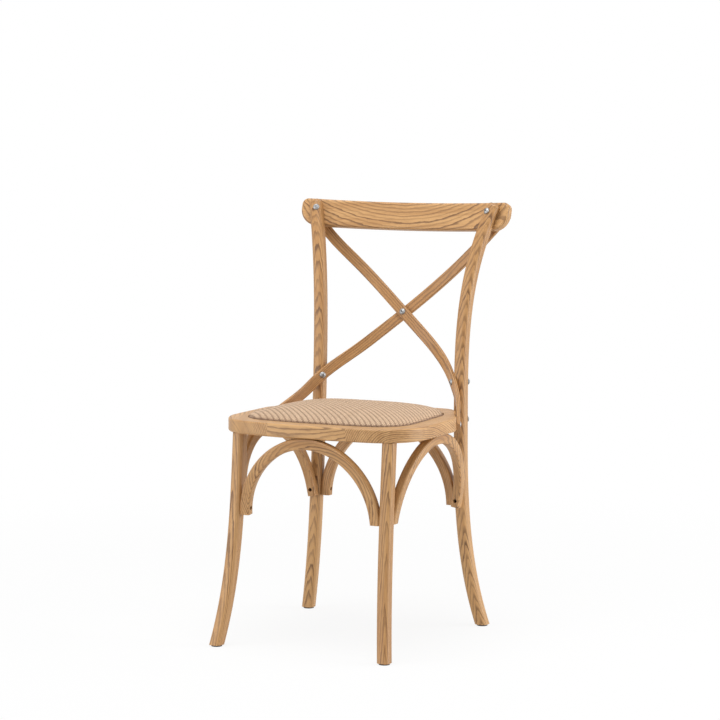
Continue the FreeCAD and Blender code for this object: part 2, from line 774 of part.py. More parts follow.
# Arches
def arch_arcs(half_span, rise, spring, inset):
    toe = math.radians(size("arch_toe"))
    top_radius = size("arch_fullness") * half_span * (half_span + rise) / (2 * rise)
    top_centre = Vector(0, spring + rise - top_radius, 0)
    over = half_span ** 2 + rise ** 2 - 2 * rise * top_radius
    under = half_span * math.cos(toe) - (rise - top_radius) * math.sin(toe) - top_radius
    low_radius = over / (2 * under)
    low_centre = Vector(half_span, spring, 0) - turned_in_sketch(toe) * low_radius
    meeting = (top_centre - low_centre) * (low_radius - top_radius)
    turn = math.atan2(meeting.y, meeting.x)
    across = Vector(0, 0, 1)
    low = Part.Circle(low_centre, across, low_radius - inset)
    top = Part.Circle(top_centre, across, top_radius - inset)
    other = Part.Circle(Vector(-low_centre.x, low_centre.y, 0), across, low_radius - inset)
    return [
        Part.ArcOfCircle(low, toe, turn),
        Part.ArcOfCircle(top, turn, math.pi - turn),
        Part.ArcOfCircle(other, math.pi - turn, math.pi - toe),
    ]


def turned_in_sketch(turn):
    return Vector(math.cos(turn), math.sin(turn), 0)


def foot_corners(side, half_span, spring, foot):
    toe = math.radians(size("arch_toe"))
    thickness = size("arch_thickness")
    outer = Vector(half_span, spring, 0)
    inner = outer - turned_in_sketch(toe) * thickness
    slope = math.tan(toe)
    outer_foot = Vector(outer.x + (outer.y - foot) * slope, foot, 0)
    inner_foot = Vector(inner.x + (inner.y - foot) * slope, foot, 0)
    return [Vector(side * corner.x, corner.y, 0) for corner in (outer, outer_foot, inner_foot, inner)]


def arch(name, placement, half_span, feet, spring, top):
    body = new_body(name, placement)
    outline = new_sketch(body, name + "_outline", "XZ_Plane")
    reach = half_span + size("arch_thickness") / 2
    for inset in (0, size("arch_thickness")):
        outline.addGeometry(arch_arcs(reach, top - spring, spring, inset))
    for side, foot in zip((-1, 1), feet):
        corners = foot_corners(side, reach, spring, foot)
        for start, end in zip(corners, corners[1:]):
            outline.addGeometry(Part.LineSegment(start, end))
    limb = body.newObject("PartDesign::Pad", name + "_limb")
    limb.Profile = outline
    limb.Midplane = True
    limb.setExpression("Length", "Dimensions.arch_depth")
    document.recompute()
    edges = []
    depth = size("arch_depth")
    for number, edge in enumerate(limb.Shape.Edges, start=1):
        ends = [vertex.Point for vertex in edge.Vertexes]
        crosswise = abs(ends[0].y - ends[1].y) > depth / 2
        at_foot = all(min(abs(end.z - foot) for foot in feet) < 0.01 for end in ends)
        if not crosswise and not at_foot:
            edges.append("Edge%d" % number)
    round_over(body, name + "_easing", limb, edges, "arch_corner")
    return body


def leaning(middle, turn, lean):
    facing = Rotation(Vector(0, 0, 1), turn)
    tilt = Rotation(Vector(1, 0, 0), -math.degrees(math.atan(size(lean))))
    return Placement(middle, facing.multiply(tilt))


def up_the_arch(height, base, lean):
    return (height - base) / math.cos(math.atan(size(lean)))


def side_touch():
    return size("leg_width") / 2 - size("housing_depth")


def cross_arch(kind, leg_at, turn):
    foot = size(kind + "_arch_foot")
    lean = kind + "_arch_lean"
    screw_height = foot + size("arch_screw_lift")
    leg = leg_at(screw_height)
    half_span = leg.x - side_touch() - size("arch_thickness") / 2
    placement = leaning(Vector(0, leg_at(foot).y, foot), turn, lean)
    spring = up_the_arch(size(kind + "_arch_spring"), foot, lean)
    top = up_the_arch(rail_base + size("arch_seating"), foot, lean)
    blank = arch(kind + "_arch_blank", placement, half_span, (0, 0), spring, top)
    return blank, half_span


def side_arch():
    foot = size("side_arch_back_foot")
    front_foot = size("side_arch_front_foot")
    lean = "side_arch_lean"
    front = front_leg_at(front_foot + size("arch_screw_lift"))
    back = back_leg_at(foot + size("arch_screw_lift"))
    near = front.y + side_touch()
    far = back.y - side_touch()
    half_span = (far - near - size("arch_thickness")) / 2
    out = (front_leg_at(front_foot).x + back_leg_at(foot).x) / 2 - size("side_arch_in")
    placement = leaning(Vector(out, (near + far) / 2, foot), -90, lean)
    spring = up_the_arch(size("side_arch_spring"), foot, lean)
    top = up_the_arch(rail_base + size("arch_seating"), foot, lean)
    feet = (0, up_the_arch(front_foot, foot, lean))
    blank = arch("side_arch_blank", placement, half_span, feet, spring, top)
    return blank, half_span


# Bolts, screws and glides
def facing(direction):
    return Rotation(Vector(0, 0, 1), direction)


def fastener(name, seat, outward, kind, length):
    body = new_body(name, Placement(seat, facing(outward)))
    head = size(kind + "_head") / 2
    dome = size(kind + "_dome")
    shank = size(kind + "_shank") / 2
    rim = dome * 0.3
    rise = dome - rim
    globe = (head * head + rise * rise) / (2 * rise)
    half = math.asin(head / globe) / 2
    middle = Vector(globe * math.sin(half), dome - globe * (1 - math.cos(half)), 0)
    outline = new_sketch(body, name + "_outline", "XZ_Plane")
    corners = (
        Vector(0, dome, 0),
        Vector(0, -length, 0),
        Vector(shank - 0.6, -length, 0),
        Vector(shank, 0.6 - length, 0),
        Vector(shank, 0, 0),
        Vector(head, 0, 0),
        Vector(head, rim, 0),
    )
    for start, end in zip(corners, corners[1:]):
        outline.addGeometry(Part.LineSegment(start, end))
    outline.addGeometry(Part.Arc(corners[-1], middle, corners[0]))
    turning = body.newObject("PartDesign::Revolution", name + "_turning")
    turning.Profile = outline
    turning.ReferenceAxis = (outline, ["V_Axis"])
    turning.Angle = 360
    flats = size(kind + "_socket")
    socket = new_sketch(body, name + "_socket", "XY_Plane", Placement(Vector(0, 0, dome), Rotation()))
    reach = flats / math.sqrt(3)
    ring = [turned(60 * number) * reach for number in range(7)]
    for start, end in zip(ring, ring[1:]):
        socket.addGeometry(Part.LineSegment(start, end))
    recess = body.newObject("PartDesign::Pocket", name + "_recess")
    recess.Profile = socket
    recess.Length = dome * 0.65
    return body


def cap(name, seat, outward, depth):
    body = new_body(name, Placement(seat, facing(outward)))
    head = size("bolt_head") / 2
    dome = size("bolt_dome") + 1.2
    shank = size("bolt_shank") / 2
    rim = dome * 0.4
    rise = dome - rim
    globe = (head * head + rise * rise) / (2 * rise)
    half = math.asin(head / globe) / 2
    middle = Vector(globe * math.sin(half), dome - globe * (1 - math.cos(half)), 0)
    outline = new_sketch(body, name + "_outline", "XZ_Plane")
    corners = (
        Vector(0, dome, 0),
        Vector(0, depth, 0),
        Vector(shank, depth, 0),
        Vector(shank, 0, 0),
        Vector(head, 0, 0),
        Vector(head, rim, 0),
    )
    for start, end in zip(corners, corners[1:]):
        outline.addGeometry(Part.LineSegment(start, end))
    outline.addGeometry(Part.Arc(corners[-1], middle, corners[0]))
    turning = body.newObject("PartDesign::Revolution", name + "_turning")
    turning.Profile = outline
    turning.ReferenceAxis = (outline, ["V_Axis"])
    turning.Angle = 360
    return body


def drill(name, seat, outward, kind, length):
    radius = "Dimensions.%s_shank / 2 + Dimensions.bore_clearance" % kind
    start = seat + outward * 12
    return cylinder(name, start, outward * -1, radius, length + 12)


def glide(name, centre):
    start = Vector(centre.x, centre.y, 0)
    disc = cylinder(name + "_disc", start, Vector(0, 0, 1), "Dimensions.glide_width / 2", 3)
    disc.setExpression("Height", "Dimensions.glide_thickness")
    pin = cylinder(name + "_pin", start, Vector(0, 0, 1), "Dimensions.glide_pin / 2", 17)
    pin.setExpression("Height", "Dimensions.glide_thickness + Dimensions.glide_pin_length")
    return joined(name, [disc, pin])


# Wooden blanks
front_blank = front_leg_blank()
back_blank = back_leg_blank()
ring = seat_ring()
crest = crest_rail()
front_slat = slat("slat_near", -1, 1)
back_slat = slat("slat_far", 1, -1)
front_arch, front_span = cross_arch("front", front_leg_at, 180)
back_arch, back_span = cross_arch("back", back_leg_at, 0)
right_arch, side_span = side_arch()
document.recompute()

# Fasteners of the back
crest_place = crest_frame()
backward = crest_place.Rotation.multVec(Vector(0, 1, 0))
upward = crest_place.Rotation.multVec(Vector(0, 0, 1))
crest_bolt_middle = back_leg_at(size("crest_bolt_height"))
post_run = (back_leg_at(size("crest_bolt_height") + 5) - crest_bolt_middle).normalize()
crest_bolt_way = turned(size("crest_bolt_turn"))
crest_bolt_way = (crest_bolt_way - post_run * crest_bolt_way.dot(post_run)).normalize()


def post_reach(angle):
    flat = size("leg_width") / 2 - size("leg_corner")
    turn = math.radians(angle)
    return flat * (math.cos(turn) + math.sin(turn)) + size("leg_corner")


crest_bolt_seat = crest_bolt_middle - crest_bolt_way * (post_reach(size("crest_bolt_turn")) - 0.6)
crest_bolt = fastener("crest_bolt", crest_bolt_seat, crest_bolt_way * -1, "bolt", 40)
crest_drill = drill("crest_drill", crest_bolt_seat, crest_bolt_way * -1, "bolt", 41)
crest_spot = cylinder("crest_bolt_spot", crest_bolt_seat, crest_bolt_way * -1, "Dimensions.bolt_head / 2 + 0.3", 8)

half_slat = size("slat_thickness") / 2
path, path_normals = slat_path()
crossing = path[crossing_station]
cross_seat = crossing - backward * (size("slat_thickness") - 0.15)
cross_bolt = fastener("cross_bolt", cross_seat, backward * -1, "bolt", 2 * size("slat_thickness") + 2)
cross_drill = drill("cross_drill", cross_seat, backward * -1, "bolt", 30)
cross_cap_seat = crossing + backward * (size("slat_thickness") - 0.15)
cross_nut = cap("cross_nut", cross_cap_seat, backward, 3)

diagonal = turned(size("slat_post_turn"))
slat_at_post = path[post_station]
slat_post_seat = slat_at_post - diagonal * (half_slat - 0.5)
slat_post_spot = cylinder("slat_post_face", slat_post_seat, diagonal * -1, "Dimensions.bolt_head / 2 + 0.3", 8)
post_back = post_reach(size("slat_post_turn"))
nut_seat = slat_at_post + diagonal * (size("slat_post_reach") + post_back - 1)
slat_post_length = (nut_seat - slat_post_seat).Length + 2.5
slat_post_bolt = fastener("slat_post_bolt", slat_post_seat, diagonal * -1, "bolt", slat_post_length)
slat_post_drill = drill("slat_post_drill", slat_post_seat, diagonal * -1, "bolt", 60)
slat_post_nut = cap("slat_post_nut", nut_seat, diagonal, 3)
nut_flat = cylinder("slat_post_spot", nut_seat, diagonal, "Dimensions.bolt_head / 2 + 0.3", 8)

seat_facing = path_normals[1]
slat_seat_seat = path[1] + seat_facing * (half_slat - 2)
slat_seat_spot = cylinder("slat_seat_spot", slat_seat_seat, seat_facing, "Dimensions.bolt_head / 2 + 0.3", 8)
slat_seat_bolt = fastener("slat_seat_bolt", slat_seat_seat, seat_facing, "bolt", 34)
slat_seat_drill = drill("slat_seat_drill", slat_seat_seat, seat_facing, "bolt", 35)

post_seat_height = rail_base + 7.5
post_at_seat = back_leg_at(post_seat_height)
post_seat_seat = post_at_seat + diagonal * (post_back - 1)
post_seat_bolt = fastener("post_seat_bolt", post_seat_seat, diagonal, "bolt", 54)
post_seat_drill = drill("post_seat_drill", post_seat_seat, diagonal, "bolt", 55)
post_spot = cylinder("post_seat_spot", post_seat_seat, diagonal, "Dimensions.bolt_head / 2 + 0.3", 8)

lean = Vector(-size("slat_fixing_out"), size("crest_bow"), 0).normalize()
slat_crest_spot = Vector(0, -size("crest_bow"), 0) + lean * (
    size("crest_bow") + size("crest_thickness") / 2 + size("slat_thickness")
)
slat_crest_seat = crest_place.multVec(slat_crest_spot)
slat_crest_out = crest_place.Rotation.multVec(lean)
slat_crest_screw = fastener("slat_crest_screw", slat_crest_seat, slat_crest_out, "screw", 24)
slat_crest_drill = drill("slat_crest_drill", slat_crest_seat, slat_crest_out, "screw", 25)


def both(name, source):
    return [source, mirrored(name + "_left", source)]


# Fasteners of the arches
def arch_screw(name, blank, side, half_span, foot):
    place = blank.Placement
    slope = place.Rotation.multVec(Vector(0, 0, 1)).z
    lift = (foot + size("arch_screw_lift") - place.Base.z) / slope
    local = Vector(side * (half_span - size("arch_thickness") / 2), 0, lift)
    outward = place.Rotation.multVec(Vector(-side, 0, 0))
    seat = place.multVec(local) - outward * size("counterbore_depth")
    length = size("arch_thickness") - size("counterbore_depth") + size("screw_bite")
    screw = fastener(name, seat, outward, "screw", length)
    hole = drill(name + "_drill", seat, outward, "screw", length + 1)
    bore = cylinder(name + "_bore", seat, outward, "Dimensions.counterbore_width / 2", 20)
    return screw, hole, bore


def arch_top_screw(name, blank):
    place = blank.Placement
    upright = place.Rotation.multVec(Vector(0, 0, 1))
    top = (rail_base - place.Base.z) / upright.z
    under = place.multVec(Vector(0, 0, top - size("arch_thickness") + 4))
    screw = fastener(name, under, upright * -1, "screw", 30)
    hole = drill(name + "_drill", under, upright * -1, "screw", 31)
    bore = cylinder(name + "_bore", under, upright * -1, "Dimensions.counterbore_width / 2", 20)
    return screw, hole, bore


def arch_screw_pair(kind, blank, half_span, feet):
    return [
        arch_screw("%s_screw_%d" % (kind, number), blank, side, half_span, foot)
        for number, (side, foot) in enumerate(zip((-1, 1), feet))
    ]


front_feet = [size("front_arch_foot")] * 2
back_feet = [size("back_arch_foot")] * 2
side_feet = [size("side_arch_back_foot"), size("side_arch_front_foot")]
front_screws = arch_screw_pair("front", front_arch, front_span, front_feet)
back_screws = arch_screw_pair("back", back_arch, back_span, back_feet)
side_screws = arch_screw_pair("side", right_arch, side_span, side_feet)
front_top_screw = arch_top_screw("front_top_screw", front_arch)
back_top_screw = arch_top_screw("back_top_screw", back_arch)
side_top_screw = arch_top_screw("side_top_screw", right_arch)

front_glide = glide("front_glide", front_leg_at(size("glide_thickness")))
back_glide = glide("back_glide", back_leg_at(size("glide_thickness")))
document.recompute()

# Finished legs
right_front_leg = cut(
    "front_leg_right",
    front_blank,
    [
        front_arch,
        right_arch,
        front_screws[0][1],
        side_screws[1][1],
        front_glide,
    ],
)
keep("front_leg_right", right_front_leg)
keep("front_leg_left", mirrored("front_leg_left", right_front_leg))
right_back_leg = cut(
    "back_leg_right",
    back_blank,
    [
        back_arch,
        right_arch,
        crest,
        front_slat,
        back_screws[1][1],
        side_screws[0][1],
        crest_drill,
        crest_spot,
        slat_post_drill,
        nut_flat,
        post_seat_drill,
        post_spot,
        back_glide,
    ],
)
keep("rear_leg_right", right_back_leg)
keep("rear_leg_left", mirrored("rear_leg_left", right_back_leg))

# Finished seat frame
dowels = joint_dowels()
screw_seats = board_screw_places()
board_screw_length = size("rail_height") - size("rebate_depth") + size("board_thickness") - 2.5
board_screws = []
board_drills = []
for number, seat in enumerate(screw_seats):
    down = Vector(0, 0, -1)
    board_screws.append(fastener("board_screw_%d" % number, seat, down, "screw", board_screw_length))
    board_drills.append(drill("board_drill_%d" % number, seat, down, "screw", board_screw_length + 1))
socket_start = front_leg_at(rail_base)
socket = cylinder("tenon_socket", socket_start, Vector(0, 0, 1), "Dimensions.tenon_width / 2", 18)
socket.setExpression("Height", "Dimensions.tenon_length + 0.5")
front_out = size("front_joint")
back_out = size("back_joint")
front_block = box("front_block", at(-front_out, -400, 300), at(front_out, 0, 600))
back_block = box("back_block", at(-back_out, 0, 300), at(back_out, 400, 600))
side_trim = box("side_trim", at(-400, -400, 300), at(0, 400, 600))
dowel_pairs = [mirrored(dowel.Name + "_left", dowel) for dowel in dowels]
front_rail = cut(
    "front_rail",
    common("front_rail_blank", ring, front_block),
    dowels[:2] + dowel_pairs[:2] + [front_top_screw[1]],
)
keep("seat_rail_front", front_rail)
back_rail = cut(
    "back_rail",
    common("back_rail_blank", ring, back_block),
    dowels[2:] + dowel_pairs[2:] + [back_top_screw[1]],
)
keep("seat_rail_back", back_rail)
right_rail = cut(
    "right_rail",
    cut("right_rail_blank", ring, [front_block, back_block, side_trim]),
    dowels
    + board_drills
    + [socket, back_blank, slat_seat_drill, post_seat_drill, side_top_screw[1]],
)
keep("seat_rail_right", right_rail)
keep("seat_rail_left", mirrored("left_rail", right_rail))
keep("seat_rail_dowels", group("rail_dowels", dowels + dowel_pairs))

# Finished arches
above_rail = box("above_rail", at(-400, -400, rail_base), at(400, 400, 600))


def finished_arch(label, blank, screws, top_screw):
    tools = [above_rail, top_screw[1], top_screw[2]]
    for screw in screws:
        tools.append(screw[1])
        tools.append(screw[2])
    return keep(label, cut(label, blank, tools))


finished_arch("arch_front", front_arch, front_screws, front_top_screw)
finished_arch("arch_back", back_arch, back_screws, back_top_screw)
finished_side = finished_arch("arch_right", right_arch, side_screws, side_top_screw)
keep("arch_left", mirrored("arch_left", finished_side))

# Finished back
drills_left = [mirrored(item.Name + "_left", item) for item in (crest_drill, slat_post_drill, slat_seat_drill)]
spots_left = [mirrored(item.Name + "_left", item) for item in (slat_seat_spot, slat_post_spot)]
crest_fix_right = mirrored("slat_crest_drill_right", slat_crest_drill)
keep("crest_rail", cut("crest_rail", crest, [crest_drill, drills_left[0], slat_crest_drill, crest_fix_right]))
slat_tools = [cross_drill, slat_post_drill, slat_seat_drill, slat_crest_drill]
slat_tools += [slat_seat_spot, slat_post_spot]
keep("cross_slat_front", cut("cross_slat_front", front_slat, slat_tools))
far_tools = [cross_drill, drills_left[1], drills_left[2], crest_fix_right, front_slat] + spots_left
keep("cross_slat_rear", cut("cross_slat_rear", back_slat, far_tools))

# Pad
board_body = new_body("seat_board_body", Placement(at(0, 0, 0), Rotation()))
board_top = size("seat_top") - size("rebate_depth") + size("board_thickness")
board_gap = size("pad_clearance") + size("cover_thickness") + 2 * size("soft_clearance")
board_outline = outline_sketch(
    board_body, "board_outline", chain_arcs(pad_chain, board_gap), size("seat_top") - size("rebate_depth")
)
board_pad = board_body.newObject("PartDesign::Pad", "board_pad")
board_pad.Profile = board_outline
board_pad.setExpression("Length", "Dimensions.board_thickness")
board_left = [mirrored(item.Name + "_left", item) for item in board_drills]
keep("seat_board", cut("seat_board", board_body, board_drills + board_left))
cover_inset = size("pad_clearance")
foam_inset = board_gap
cavity_inset = cover_inset + size("cover_thickness")
ledge_top = size("seat_top") - size("rebate_depth")
cover_outer = crowned_solid("cover_outer", cover_inset, 0, ledge_top + size("soft_clearance"))
cavity_base = ledge_top - 1
cavity = crowned_solid("cover_cavity", cavity_inset, size("cover_thickness"), cavity_base)
foam_cut = size("cover_thickness") + size("soft_clearance")
foam = crowned_solid("foam_form", foam_inset, foam_cut, board_top + size("soft_clearance"))
keep("seat_weave", cut("seat_weave", cover_outer, [cavity]))
keep("seat_foam", foam)

# Fastener groups
keep("crest_bolts", group("crest_bolts", both("crest_bolt", crest_bolt)))
keep("cross_bolt", cross_bolt)
keep("cross_nut", cross_nut)
keep("slat_post_bolts", group("slat_post_bolts", both("slat_post_bolt", slat_post_bolt)))
keep("slat_post_nuts", group("slat_post_nuts", both("slat_post_nut", slat_post_nut)))
keep("slat_seat_bolts", group("slat_seat_bolts", both("slat_seat_bolt", slat_seat_bolt)))
keep("post_seat_bolts", group("post_seat_bolts", both("post_seat_bolt", post_seat_bolt)))
keep("slat_crest_screws", group("slat_crest_screws", both("slat_crest_screw", slat_crest_screw)))
leg_screws = [screw[0] for screw in front_screws + back_screws]
for screw in side_screws:
    leg_screws += both(screw[0].Name, screw[0])
keep("arch_leg_screws", group("arch_leg_screws", leg_screws))
top_screws = [front_top_screw[0], back_top_screw[0]] + both("side_top_screw", side_top_screw[0])
keep("arch_seat_screws", group("arch_seat_screws", top_screws))
board_pairs = []
for screw in board_screws:
    board_pairs += both(screw.Name, screw)
keep("seat_board_screws", group("seat_board_screws", board_pairs))
glides = both("front_glide", front_glide) + both("back_glide", back_glide)
keep("foot_glides", group("foot_glides", glides))

document.recompute()
for thing in document.Objects:
    troubled = [word for word in thing.State if word in ("Invalid", "Error")]
    if troubled:
        raise RuntimeError("%s: %s" % (thing.Name, troubled))
for label, feature in nodes.items():
    shape = feature.Shape
    if shape.isNull() or not shape.isValid():
        raise RuntimeError("%s is not a valid solid" % label)
os.makedirs("parts", exist_ok=True)
for label, feature in nodes.items():
    feature.Shape.exportStep("parts/%s.step" % label)
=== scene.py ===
import json
import math

import bmesh
import bpy
import numpy as np
from mathutils import Matrix, Vector


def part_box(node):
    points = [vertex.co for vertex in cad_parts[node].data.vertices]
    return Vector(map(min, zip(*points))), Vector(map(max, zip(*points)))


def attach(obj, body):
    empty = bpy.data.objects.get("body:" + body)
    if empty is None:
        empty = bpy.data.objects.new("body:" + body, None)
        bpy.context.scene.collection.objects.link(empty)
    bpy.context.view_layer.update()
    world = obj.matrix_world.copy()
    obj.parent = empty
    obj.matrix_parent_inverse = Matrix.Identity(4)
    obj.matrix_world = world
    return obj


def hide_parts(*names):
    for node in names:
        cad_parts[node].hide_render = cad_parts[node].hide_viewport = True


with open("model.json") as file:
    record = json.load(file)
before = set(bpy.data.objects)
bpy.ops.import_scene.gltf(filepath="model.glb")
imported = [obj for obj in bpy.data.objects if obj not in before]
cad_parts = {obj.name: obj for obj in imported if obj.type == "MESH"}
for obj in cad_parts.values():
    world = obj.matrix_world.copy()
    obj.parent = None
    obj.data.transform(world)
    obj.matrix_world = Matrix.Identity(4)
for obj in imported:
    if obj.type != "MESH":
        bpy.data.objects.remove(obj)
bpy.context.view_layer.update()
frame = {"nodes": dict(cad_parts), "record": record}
nodes = frame["nodes"]

MM = 0.001
TO_MM = 1000.0
X, Y, Z = 0, 1, 2
X_WAY, Y_WAY, Z_WAY = np.eye(3)
FRAME_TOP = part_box("seat_rail_front")[1][Z]

# The photograph's view: metres and degrees, and the lens in millimetres
CAMERA_PLACE = (2.418, -4.750, 1.125)
CAMERA_TURN = 26.89
CAMERA_DROP = 6.02
CAMERA_LENS = 131.5

# Colours
OAK_LIGHT = (0.600, 0.345, 0.142)
OAK_WARM = (0.430, 0.218, 0.076)
OAK_LINE = (0.115, 0.049, 0.018)
PLY_LIGHT = (0.520, 0.345, 0.180)
PLY_WARM = (0.430, 0.270, 0.130)
PLY_LINE = (0.230, 0.125, 0.055)
STRAND_LIGHT = (0.665, 0.478, 0.322)
STRAND_DARK = (0.475, 0.312, 0.192)
# The colour of painted shade in the weave's gaps and along the pad's foot
STRAND_SHADOW = (0.130, 0.064, 0.036)
ZINC_DARK = (0.27, 0.27, 0.27)
ZINC_LIGHT = (0.40, 0.40, 0.40)
BLACK_STEEL = (0.054, 0.048, 0.043)
DARK_PLASTIC = (0.036, 0.031, 0.029)
BEECH = (0.60, 0.42, 0.24)
FOAM = (0.78, 0.72, 0.55)
FLOOR_GREY = (0.80, 0.80, 0.80)
WHITE = (1.0, 1.0, 1.0)

# Rings of the wood, in millimetres. Their late wood is placed from 0 to 1 across a ring
RING_WIDTH = 3.9
RING_WANDER = 11.0
RING_SHAKE = 3.0
LATE_BEGINS = 0.40
LATE_FULL = 0.86
LATE_FADES = 0.94
FAINTEST_RING = 0.35

# Waves per millimetre along, across and deep in the log
WANDER_WAVES = (0.0035, 0.017, 0.017)
SHAKE_WAVES = (0.035, 0.14, 0.14)
PORE_WAVES = (0.06, 1.2, 1.2)
BROAD_WAVES = (0.004, 0.05, 0.05)
BAND_WAVES = (0.006, 0.35, 0.35)

# How much clouds, shade, pores and rings change the wood's colour, roughness and surface
CLOUD_SHARE = 0.7
# SHADE_SHARE is how far painted shade, where shade passes 1, darkens towards the lines
SHADE_SHARE = 0.9
PORE_SHARE = 0.22
PORE_SHARE_IN_RING = 0.34
PORE_ROUGHNESS = 0.12
PORE_DEPTH = 0.5
RING_DEPTH = 0.35

# How many times finer than RING_WIDTH the rings of a piece are
LEG_FINENESS = 1.7
SLAT_FINENESS = 1.2
CREST_FINENESS = 0.8
ARCH_FINENESS = 1.9
RAIL_FINENESS = 1.05

# How far along its log a piece lies for each millimetre of its pith, so that no two are alike
LOG_SHIFT = (13, 7)

# What lay_grain asks of the slats, the crest rail and the arches
SLAT_SHADE = 0.65
CREST_SHADE = 0.1
CREST_SAG = -0.7
ARCH_SLOPE = (0.03, 0.05)

# Arches: straight feet below the spring, and a band of painted shade at the top, under the seat frame
ARCH_SPRING = 12 * MM
ARCH_SHADE = 0.2
ARCH_TOP_PAINTED_SHADE = 1.4
ARCH_PAINTED_SHADE_BAND = 14 * MM

# A piece's middle line keeps off the piece's rounded ends
LINE_POINTS = 40
LINE_END = 12 * MM

# Weave: a warp strand passes over three weft strands and under the fourth
STRAND_WIDTH = 3.25 * MM
TWILL_REPEAT = 4.0
FLAT_POWER = 3.0
ARCH_POWER = 0.6
LOW_HEIGHT = 0.30
ARCH_HEIGHT = 0.70
WEFT_SUNK = 0.70
STREAK_WAVES = (0.9, 0.35, 0.9)
SPECK_WAVES = (0.8, 0.8, 0.8)
STRAND_SHARE = 0.25
STREAK_SHARE = 0.30
GAP_SHADE_SHARE = 0.85

# Painted shade along the pad's foot, where it meets the frame, in millimetres above the frame
FOOT_SHADE_TOP = 6.6
FOOT_SHADE_BOTTOM = 2.0
FOOT_SHADE_UNEVEN = 3.0
FOOT_SHADE_SHARE = 0.75

# Numbers of the strands, so spaced that each strand has a tone of its own
WARP_NUMBER = 2.11
WEFT_NUMBER = 1.37
WEFT_START = 517.0

# Small parts
MOTTLE_DARKER = 0.65
MOTTLE_ROUGHNESS = 0.16
ZINC_ROUGHNESS = 0.14

# Pad: the shares are of the way from its middle to its edge, and of the space between ribs
PAD_GRID = (300, 280)
EDGE_RISE = 6.4 * MM
EDGE_ROLL = 1.2 * MM
EDGE_SHARE = 0.025
EDGE_POWER = 30
CROWN_POWER = 3.2
RIB_SPACING = 4 * STRAND_WIDTH
RIB_DEPTH = 0.6 * MM
RIB_SHARE = 0.16
RIB_FADE_POWER = 12

# Which points of the pad's CAD mesh are its outline
SAME_LEVEL = 0.02 * MM
NEAR_ANGLE = 0.05
OUTLINE_DEPTH = 1.2 * MM

# Studio, in metres
WORLD_LIGHT = 0.50
FLOOR_GLOW = 0.88
FLOOR_NEAR = 0.5
FLOOR_FAR = 2.0
FLOOR_REACH = 30
FLOOR_DROP = 0.2 * MM


class Link:
    """A shader value that Python arithmetic turns into Math nodes."""

    def __init__(self, tree, socket):
        self.tree = tree
        self.socket = socket

    def maths(self, operation, *others):
        return self.tree.add("ShaderNodeMath", {"operation": operation}, (self,) + others)

    def __add__(self, other):
        return self.maths("ADD", other)

    def __sub__(self, other):
        return self.maths("SUBTRACT", other)

    def __rsub__(self, other):
        return self.tree.add("ShaderNodeMath", {"operation": "SUBTRACT"}, (other, self))

    def __mul__(self, other):
        return self.maths("MULTIPLY", other)

    def __truediv__(self, other):
        return self.maths("DIVIDE", other)

    def __pow__(self, other):
        return self.maths("POWER", other)

    __radd__ = __add__
    __rmul__ = __mul__


class Tree:
    """A node tree and the ways of adding to it."""

    def __init__(self, tree):
        self.tree = tree

    def node(self, kind, settings, values):
        """Adds a node. Values go to its inputs, in order or by number or name."""
        node = self.tree.nodes.new(kind)
        for name, value in settings.items():
            setattr(node, name, value)
        if not isinstance(values, dict):
            values = dict(enumerate(values))
        for place, value in values.items():
            self.set(node.inputs[place], value)
        return node

    def add(self, kind, settings, values, output=0):
        return Link(self, self.node(kind, settings, values).outputs[output])

    def set(self, socket, value):
        if isinstance(value, Link):
            self.tree.links.new(value.socket, socket)
        elif isinstance(value, tuple) and len(value) == 3 and len(socket.default_value) == 4:
            socket.default_value = value + (1.0,)
        else:
            socket.default_value = value

    def attribute(self, name):
        return self.add("ShaderNodeAttribute", {"attribute_name": name}, {}, "Vector")

    def object_place(self):
        return self.add("ShaderNodeTexCoord", {}, {}, "Object")

    def parts(self, vector):
        split = self.node("ShaderNodeSeparateXYZ", {}, (vector,))
        return [Link(self, socket) for socket in split.outputs]

    def stretched(self, place, factors):
        return self.add("ShaderNodeVectorMath", {"operation": "MULTIPLY"}, (place, factors))

    def noise(self, place, scale, detail=2.0, roughness=0.5):
        values = {"Vector": place, "Scale": scale, "Detail": detail, "Roughness": roughness}
        return self.add("ShaderNodeTexNoise", {"noise_dimensions": "3D"}, values)

    def waves(self, place, factors, detail=2.0, roughness=0.5):
        """Noise with its own number of waves along each axis."""
        return self.noise(self.stretched(place, factors), 1.0, detail, roughness)

    def chance(self, number):
        """A value from 0 to 1 that looks random and is always the same for a number."""
        return self.add("ShaderNodeTexWhiteNoise", {"noise_dimensions": "1D"}, {"W": number})

    def steps(self, value, low, high):
        """Goes smoothly from 0 at low to 1 at high."""
        values = {"Value": value, "From Min": low, "From Max": high}
        return self.add("ShaderNodeMapRange", {"interpolation_type": "SMOOTHSTEP"}, values)

    def mix(self, share, first, second):
        values = {0: share, 6: first, 7: second}
        return self.add("ShaderNodeMix", {"data_type": "RGBA"}, values, output=2)

    def seen(self):
        """1 for rays from the camera and in reflections, 0 for the other light."""
        path = self.node("ShaderNodeLightPath", {}, {})
        camera_ray = Link(self, path.outputs["Is Camera Ray"])
        return camera_ray.maths("MAXIMUM", Link(self, path.outputs["Is Glossy Ray"]))


class Finish(Tree):
    """One material and the nodes that paint it."""

    def __init__(self, name):
        self.material = bpy.data.materials.new(name)
        self.material.use_nodes = True
        super().__init__(self.material.node_tree)
        self.tree.nodes.clear()
        self.shader = self.node("ShaderNodeBsdfPrincipled", {}, {})
        self.surface = Link(self, self.shader.outputs["BSDF"])
        self.output = self.node("ShaderNodeOutputMaterial", {}, {"Surface": self.surface})

    def paint(self, colour, roughness, metallic=0.0, specular=0.5):
        self.set(self.shader.inputs["Base Color"], colour)
        self.set(self.shader.inputs["Roughness"], roughness)
        self.set(self.shader.inputs["Metallic"], metallic)
        self.set(self.shader.inputs["Specular IOR Level"], specular)

    def bump(self, height, distance, strength):
        values = {"Height": height, "Distance": distance, "Strength": strength}
        self.set(self.shader.inputs["Normal"], self.add("ShaderNodeBump", {}, values))


